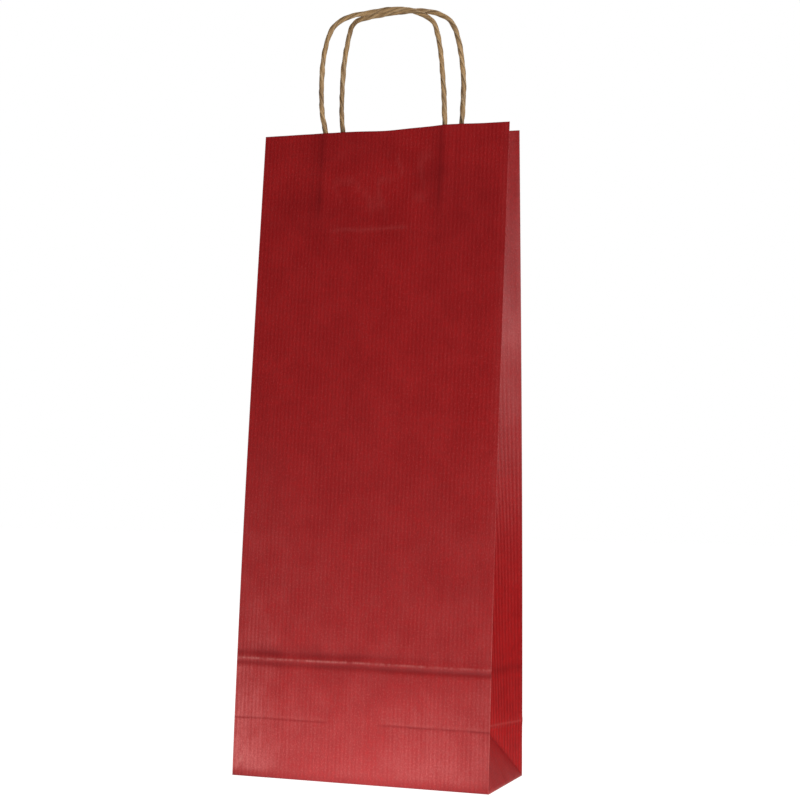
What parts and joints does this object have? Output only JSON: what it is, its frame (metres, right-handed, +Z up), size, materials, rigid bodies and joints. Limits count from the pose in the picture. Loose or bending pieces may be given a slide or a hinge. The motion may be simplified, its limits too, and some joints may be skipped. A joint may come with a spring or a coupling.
{
  "type": "paper wine gift bag",
  "caption": "Tall narrow ribbed paper gift bag for one bottle, with a folded bottom, tucked side gussets, panels that open on their bottom creases and twisted paper cord loop handles.",
  "frame": {"origin": "centre of the bottom, on the ground", "axes": "+X across the front panel, -Y out of the front, +Z up"},
  "size_m": [0.16, 0.075, 0.4725],
  "materials": {
    "red_ribbed_paper": "satin",
    "plain_kraft_paper": "matte",
    "twisted_kraft_cord": "matte"
  },
  "bodies": {
    "base": {"bottom_flap_front": "red_ribbed_paper", "bottom_flap_back": "red_ribbed_paper", "bottom_fold_left": "plain_kraft_paper", "bottom_fold_right": "plain_kraft_paper"},
    "front_wall": {"front_panel": "red_ribbed_paper", "front_patch_backing": "plain_kraft_paper", "front_patch_cover": "plain_kraft_paper", "front_cord_end_left": "twisted_kraft_cord", "front_cord_end_right": "twisted_kraft_cord"},
    "back_wall": {"back_panel": "red_ribbed_paper", "side_seam_lap": "plain_kraft_paper", "back_patch_backing": "plain_kraft_paper", "back_patch_cover": "plain_kraft_paper", "back_cord_end_left": "twisted_kraft_cord", "back_cord_end_right": "twisted_kraft_cord"},
    "front_handle": {"front_handle_cord": "twisted_kraft_cord"},
    "back_handle": {"back_handle_cord": "twisted_kraft_cord"},
    "right_front_gusset": {"right_gusset_front": "red_ribbed_paper"},
    "right_back_gusset": {"right_gusset_back": "red_ribbed_paper"},
    "left_front_gusset": {"left_gusset_front": "red_ribbed_paper"},
    "left_back_gusset": {"left_gusset_back": "red_ribbed_paper"},
    "right_front_tuck": {"right_tuck_front": "red_ribbed_paper"},
    "right_back_tuck": {"right_tuck_back": "red_ribbed_paper"},
    "left_front_tuck": {"left_tuck_front": "red_ribbed_paper"},
    "left_back_tuck": {"left_tuck_back": "red_ribbed_paper"}
  },
  "joints": [
    {"name": "mouth_opening", "type": "hinge", "parent": "base", "child": "front_wall", "pos_m": [0, -0.0375, 0], "axis": [1, 0, 0], "range_deg": [-0.5, 3.75]},
    {"name": "back_wall_lean", "type": "hinge", "parent": "base", "child": "back_wall", "pos_m": [0, 0.0375, 0], "axis": [-1, 0, 0], "range_deg": [-0.5, 3.75]},
    {"name": "front_handle_swing", "type": "hinge", "parent": "front_wall", "child": "front_handle", "pos_m": [-0.001, -0.00858, 0.39896], "axis": [1, 0, 0], "range_deg": [0, 115]},
    {"name": "back_handle_swing", "type": "hinge", "parent": "back_wall", "child": "back_handle", "pos_m": [0.004, 0.00858, 0.39896], "axis": [-1, 0, 0], "range_deg": [0, 115]},
    {"name": "right_front_gusset_fold", "type": "hinge", "parent": "front_wall", "child": "right_front_gusset", "pos_m": [0.08, -0.0375, 0], "axis": [0, -0.0658, -0.9978], "range_deg": [-4.3, 32]},
    {"name": "right_front_tuck_fold", "type": "hinge", "parent": "front_wall", "child": "right_front_tuck", "pos_m": [0.0797, -0.0375, 0], "axis": [-0.6097, 0.7926, 0], "range_deg": [-0.83, 6.16]},
    {"name": "right_back_gusset_fold", "type": "hinge", "parent": "back_wall", "child": "right_back_gusset", "pos_m": [0.08, 0.0375, 0], "axis": [0, -0.0658, 0.9978], "range_deg": [-4.3, 32]},
    {"name": "right_back_tuck_fold", "type": "hinge", "parent": "back_wall", "child": "right_back_tuck", "pos_m": [0.0797, 0.0375, 0], "axis": [0.6097, 0.7926, 0], "range_deg": [-0.83, 6.16]},
    {"name": "left_front_gusset_fold", "type": "hinge", "parent": "front_wall", "child": "left_front_gusset", "pos_m": [-0.08, -0.0375, 0], "axis": [0, 0.0658, 0.9978], "range_deg": [-4.3, 32]},
    {"name": "left_front_tuck_fold", "type": "hinge", "parent": "front_wall", "child": "left_front_tuck", "pos_m": [-0.0797, -0.0375, 0], "axis": [-0.6097, -0.7926, 0], "range_deg": [-0.83, 6.16]},
    {"name": "left_back_gusset_fold", "type": "hinge", "parent": "back_wall", "child": "left_back_gusset", "pos_m": [-0.08, 0.0375, 0], "axis": [0, 0.0658, -0.9978], "range_deg": [-4.3, 32]},
    {"name": "left_back_tuck_fold", "type": "hinge", "parent": "back_wall", "child": "left_back_tuck", "pos_m": [-0.0797, 0.0375, 0], "axis": [0.6097, -0.7926, 0], "range_deg": [-0.83, 6.16]}
  ],
  "couplings": [
    {"joint": "back_wall_lean", "follows": "mouth_opening", "ratio": 1},
    {"joint": "right_front_gusset_fold", "follows": "mouth_opening", "ratio": 8.5},
    {"joint": "right_front_tuck_fold", "follows": "mouth_opening", "ratio": 1.6401},
    {"joint": "right_back_gusset_fold", "follows": "mouth_opening", "ratio": 8.5},
    {"joint": "right_back_tuck_fold", "follows": "mouth_opening", "ratio": 1.6401},
    {"joint": "left_front_gusset_fold", "follows": "mouth_opening", "ratio": 8.5},
    {"joint": "left_front_tuck_fold", "follows": "mouth_opening", "ratio": 1.6401},
    {"joint": "left_back_gusset_fold", "follows": "mouth_opening", "ratio": 8.5},
    {"joint": "left_back_tuck_fold", "follows": "mouth_opening", "ratio": 1.6401}
  ]
}
